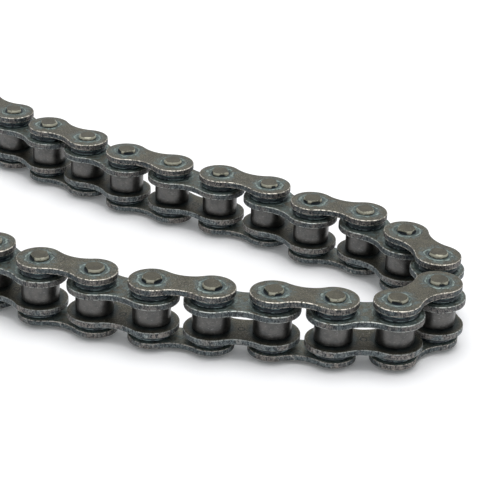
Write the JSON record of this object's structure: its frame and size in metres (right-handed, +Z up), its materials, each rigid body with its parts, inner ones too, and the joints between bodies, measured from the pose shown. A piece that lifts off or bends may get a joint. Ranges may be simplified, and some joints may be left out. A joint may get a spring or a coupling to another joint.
{
  "type": "roller chain",
  "caption": "Sealed roller chain laid on its side in a hairpin: riveted outer links, inner links on bushes, free rollers and four-lobed ring seals.",
  "frame": {"origin": "under the middle of the chain's footprint, on the plane that the lower pin heads stand on", "axes": "+Z up along the pins, +X along the strands towards the bend, +Y from the near strand to the far one"},
  "size_m": [0.1988, 0.1134, 0.0193],
  "materials": {
    "outer_link_steel": "dark oiled steel, bright worn rims",
    "inner_link_steel": "dark oiled steel with a green-grey film",
    "roller_steel": "smooth dark ground steel",
    "seal_rubber": "black greased rubber"
  },
  "bodies": {
    "inner_01": {"inner_link_01": "inner_link_steel", "seals_01": "seal_rubber"},
    "outer_01": {"outer_link_01": "outer_link_steel"},
    "inner_02": {"inner_link_02": "inner_link_steel", "seals_02": "seal_rubber"},
    "outer_02": {"outer_link_02": "outer_link_steel"},
    "inner_03": {"inner_link_03": "inner_link_steel", "seals_03": "seal_rubber"},
    "outer_03": {"outer_link_03": "outer_link_steel"},
    "inner_04": {"inner_link_04": "inner_link_steel", "seals_04": "seal_rubber"},
    "outer_04": {"outer_link_04": "outer_link_steel"},
    "inner_05": {"inner_link_05": "inner_link_steel", "seals_05": "seal_rubber"},
    "outer_05": {"outer_link_05": "outer_link_steel"},
    "inner_06": {"inner_link_06": "inner_link_steel", "seals_06": "seal_rubber"},
    "outer_06": {"outer_link_06": "outer_link_steel"},
    "inner_07": {"inner_link_07": "inner_link_steel", "seals_07": "seal_rubber"},
    "outer_07": {"outer_link_07": "outer_link_steel"},
    "inner_08": {"inner_link_08": "inner_link_steel", "seals_08": "seal_rubber"},
    "outer_08": {"outer_link_08": "outer_link_steel"},
    "inner_09": {"inner_link_09": "inner_link_steel", "seals_09": "seal_rubber"},
    "outer_09": {"outer_link_09": "outer_link_steel"},
    "inner_10": {"inner_link_10": "inner_link_steel", "seals_10": "seal_rubber"},
    "outer_10": {"outer_link_10": "outer_link_steel"},
    "inner_11": {"inner_link_11": "inner_link_steel", "seals_11": "seal_rubber"},
    "outer_11": {"outer_link_11": "outer_link_steel"},
    "inner_12": {"inner_link_12": "inner_link_steel", "seals_12": "seal_rubber"},
    "roller_01a": {"roller_01a": "roller_steel"},
    "roller_01b": {"roller_01b": "roller_steel"},
    "roller_02a": {"roller_02a": "roller_steel"},
    "roller_02b": {"roller_02b": "roller_steel"},
    "roller_03a": {"roller_03a": "roller_steel"},
    "roller_03b": {"roller_03b": "roller_steel"},
    "roller_04a": {"roller_04a": "roller_steel"},
    "roller_04b": {"roller_04b": "roller_steel"},
    "roller_05a": {"roller_05a": "roller_steel"},
    "roller_05b": {"roller_05b": "roller_steel"},
    "roller_06a": {"roller_06a": "roller_steel"},
    "roller_06b": {"roller_06b": "roller_steel"},
    "roller_07a": {"roller_07a": "roller_steel"},
    "roller_07b": {"roller_07b": "roller_steel"},
    "roller_08a": {"roller_08a": "roller_steel"},
    "roller_08b": {"roller_08b": "roller_steel"},
    "roller_09a": {"roller_09a": "roller_steel"},
    "roller_09b": {"roller_09b": "roller_steel"},
    "roller_10a": {"roller_10a": "roller_steel"},
    "roller_10b": {"roller_10b": "roller_steel"},
    "roller_11a": {"roller_11a": "roller_steel"},
    "roller_11b": {"roller_11b": "roller_steel"},
    "roller_12a": {"roller_12a": "roller_steel"},
    "roller_12b": {"roller_12b": "roller_steel"}
  },
  "joints": [
    {"name": "inner_01_on_outer_01", "type": "hinge", "parent": "outer_01", "child": "inner_01", "pos_m": [-0.0385, -0.04145, 0.00967], "axis": [0, 0, -1], "range_deg": [-68, 52]},
    {"name": "outer_01_on_inner_02", "type": "hinge", "parent": "inner_02", "child": "outer_01", "pos_m": [-0.02349, -0.04662, 0.00967], "axis": [0, 0, 1], "range_deg": [-51, 69]},
    {"name": "inner_02_on_outer_02", "type": "hinge", "parent": "outer_02", "child": "inner_02", "pos_m": [-0.00786, -0.04937, 0.00967], "axis": [0, 0, -1], "range_deg": [-70, 50]},
    {"name": "outer_02_on_inner_03", "type": "hinge", "parent": "inner_03", "child": "outer_02", "pos_m": [0.00801, -0.04937, 0.00967], "axis": [0, 0, 1], "range_deg": [-56, 64]},
    {"name": "inner_03_on_outer_03", "type": "hinge", "parent": "outer_03", "child": "inner_03", "pos_m": [0.02385, -0.04827, 0.00967], "axis": [0, 0, -1], "range_deg": [-67, 39]},
    {"name": "outer_03_on_inner_04", "type": "hinge", "parent": "inner_04", "child": "outer_03", "pos_m": [0.03943, -0.04524, 0.00967], "axis": [0, 0, 1], "range_deg": [-32, 64]},
    {"name": "inner_04_on_outer_04", "type": "hinge", "parent": "outer_04", "child": "inner_04", "pos_m": [0.05477, -0.04113, 0.00967], "axis": [0, 0, -1], "range_deg": [-57, 27]},
    {"name": "outer_04_on_inner_05", "type": "hinge", "parent": "inner_05", "child": "outer_04", "pos_m": [0.0703, -0.03783, 0.00967], "axis": [0, 0, 1], "range_deg": [-24, 69]},
    {"name": "inner_05_on_outer_05", "type": "hinge", "parent": "outer_05", "child": "inner_05", "pos_m": [0.08512, -0.03214, 0.00967], "axis": [0, 0, -1], "range_deg": [-103, 17]},
    {"name": "outer_05_on_inner_06", "type": "hinge", "parent": "inner_06", "child": "outer_05", "pos_m": [0.09208, -0.01787, 0.00967], "axis": [0, 0, 1], "range_deg": [-18, 102]},
    {"name": "inner_06_on_outer_06", "type": "hinge", "parent": "outer_06", "child": "inner_06", "pos_m": [0.0877, -0.00261, 0.00967], "axis": [0, 0, -1], "range_deg": [-93, 21]},
    {"name": "outer_06_on_inner_07", "type": "hinge", "parent": "outer_06", "child": "inner_07", "pos_m": [0.07572, 0.0078, 0.00967], "axis": [0, 0, -1], "range_deg": [-23, 74]},
    {"name": "inner_07_on_outer_07", "type": "hinge", "parent": "inner_07", "child": "outer_07", "pos_m": [0.06157, 0.01501, 0.00967], "axis": [0, 0, 1], "range_deg": [-86, 26]},
    {"name": "outer_07_on_inner_08", "type": "hinge", "parent": "outer_07", "child": "inner_08", "pos_m": [0.0457, 0.01529, 0.00967], "axis": [0, 0, -1], "range_deg": [-30, 43]},
    {"name": "inner_08_on_outer_08", "type": "hinge", "parent": "inner_08", "child": "outer_08", "pos_m": [0.0306, 0.02019, 0.00967], "axis": [0, 0, 1], "range_deg": [-73, 35]},
    {"name": "outer_08_on_inner_09", "type": "hinge", "parent": "outer_08", "child": "inner_09", "pos_m": [0.01479, 0.02158, 0.00967], "axis": [0, 0, -1], "range_deg": [-42, 61]},
    {"name": "inner_09_on_outer_09", "type": "hinge", "parent": "inner_09", "child": "outer_09", "pos_m": [-0.00105, 0.02269, 0.00967], "axis": [0, 0, 1], "range_deg": [-58, 51]},
    {"name": "outer_09_on_inner_10", "type": "hinge", "parent": "outer_09", "child": "inner_10", "pos_m": [-0.01684, 0.02434, 0.00967], "axis": [0, 0, -1], "range_deg": [-63, 50]},
    {"name": "inner_10_on_outer_10", "type": "hinge", "parent": "inner_10", "child": "outer_10", "pos_m": [-0.0321, 0.02872, 0.00967], "axis": [0, 0, 1], "range_deg": [-61, 59]},
    {"name": "outer_10_on_inner_11", "type": "hinge", "parent": "outer_10", "child": "inner_11", "pos_m": [-0.04743, 0.03283, 0.00967], "axis": [0, 0, -1], "range_deg": [-64, 56]},
    {"name": "inner_11_on_outer_11", "type": "hinge", "parent": "inner_11", "child": "outer_11", "pos_m": [-0.06244, 0.038, 0.00967], "axis": [0, 0, 1], "range_deg": [-59, 61]},
    {"name": "outer_11_on_inner_12", "type": "hinge", "parent": "outer_11", "child": "inner_12", "pos_m": [-0.07736, 0.04343, 0.00967], "axis": [0, 0, -1], "range_deg": [-62, 58]},
    {"name": "roller_01a_turn", "type": "hinge", "parent": "inner_01", "child": "roller_01a", "pos_m": [-0.05265, -0.03424, 0.00967], "axis": [0, 0, 1], "continuous": true},
    {"name": "roller_01b_turn", "type": "hinge", "parent": "inner_01", "child": "roller_01b", "pos_m": [-0.0385, -0.04145, 0.00967], "axis": [0, 0, 1], "continuous": true},
    {"name": "roller_02a_turn", "type": "hinge", "parent": "inner_02", "child": "roller_02a", "pos_m": [-0.02349, -0.04662, 0.00967], "axis": [0, 0, 1], "continuous": true},
    {"name": "roller_02b_turn", "type": "hinge", "parent": "inner_02", "child": "roller_02b", "pos_m": [-0.00786, -0.04937, 0.00967], "axis": [0, 0, 1], "continuous": true},
    {"name": "roller_03a_turn", "type": "hinge", "parent": "inner_03", "child": "roller_03a", "pos_m": [0.00801, -0.04937, 0.00967], "axis": [0, 0, 1], "continuous": true},
    {"name": "roller_03b_turn", "type": "hinge", "parent": "inner_03", "child": "roller_03b", "pos_m": [0.02385, -0.04827, 0.00967], "axis": [0, 0, 1], "continuous": true},
    {"name": "roller_04a_turn", "type": "hinge", "parent": "inner_04", "child": "roller_04a", "pos_m": [0.03943, -0.04524, 0.00967], "axis": [0, 0, 1], "continuous": true},
    {"name": "roller_04b_turn", "type": "hinge", "parent": "inner_04", "child": "roller_04b", "pos_m": [0.05477, -0.04113, 0.00967], "axis": [0, 0, 1], "continuous": true},
    {"name": "roller_05a_turn", "type": "hinge", "parent": "inner_05", "child": "roller_05a", "pos_m": [0.0703, -0.03783, 0.00967], "axis": [0, 0, 1], "continuous": true},
    {"name": "roller_05b_turn", "type": "hinge", "parent": "inner_05", "child": "roller_05b", "pos_m": [0.08512, -0.03214, 0.00967], "axis": [0, 0, 1], "continuous": true},
    {"name": "roller_06a_turn", "type": "hinge", "parent": "inner_06", "child": "roller_06a", "pos_m": [0.09208, -0.01787, 0.00967], "axis": [0, 0, 1], "continuous": true},
    {"name": "roller_06b_turn", "type": "hinge", "parent": "inner_06", "child": "roller_06b", "pos_m": [0.0877, -0.00261, 0.00967], "axis": [0, 0, 1], "continuous": true},
    {"name": "roller_07a_turn", "type": "hinge", "parent": "inner_07", "child": "roller_07a", "pos_m": [0.07572, 0.0078, 0.00967], "axis": [0, 0, 1], "continuous": true},
    {"name": "roller_07b_turn", "type": "hinge", "parent": "inner_07", "child": "roller_07b", "pos_m": [0.06157, 0.01501, 0.00967], "axis": [0, 0, 1], "continuous": true},
    {"name": "roller_08a_turn", "type": "hinge", "parent": "inner_08", "child": "roller_08a", "pos_m": [0.0457, 0.01529, 0.00967], "axis": [0, 0, 1], "continuous": true},
    {"name": "roller_08b_turn", "type": "hinge", "parent": "inner_08", "child": "roller_08b", "pos_m": [0.0306, 0.02019, 0.00967], "axis": [0, 0, 1], "continuous": true},
    {"name": "roller_09a_turn", "type": "hinge", "parent": "inner_09", "child": "roller_09a", "pos_m": [0.01479, 0.02158, 0.00967], "axis": [0, 0, 1], "continuous": true},
    {"name": "roller_09b_turn", "type": "hinge", "parent": "inner_09", "child": "roller_09b", "pos_m": [-0.00105, 0.02269, 0.00967], "axis": [0, 0, 1], "continuous": true},
    {"name": "roller_10a_turn", "type": "hinge", "parent": "inner_10", "child": "roller_10a", "pos_m": [-0.01684, 0.02434, 0.00967], "axis": [0, 0, 1], "continuous": true},
    {"name": "roller_10b_turn", "type": "hinge", "parent": "inner_10", "child": "roller_10b", "pos_m": [-0.0321, 0.02872, 0.00967], "axis": [0, 0, 1], "continuous": true},
    {"name": "roller_11a_turn", "type": "hinge", "parent": "inner_11", "child": "roller_11a", "pos_m": [-0.04743, 0.03283, 0.00967], "axis": [0, 0, 1], "continuous": true},
    {"name": "roller_11b_turn", "type": "hinge", "parent": "inner_11", "child": "roller_11b", "pos_m": [-0.06244, 0.038, 0.00967], "axis": [0, 0, 1], "continuous": true},
    {"name": "roller_12a_turn", "type": "hinge", "parent": "inner_12", "child": "roller_12a", "pos_m": [-0.07736, 0.04343, 0.00967], "axis": [0, 0, 1], "continuous": true},
    {"name": "roller_12b_turn", "type": "hinge", "parent": "inner_12", "child": "roller_12b", "pos_m": [-0.09208, 0.04937, 0.00967], "axis": [0, 0, 1], "continuous": true}
  ]
}
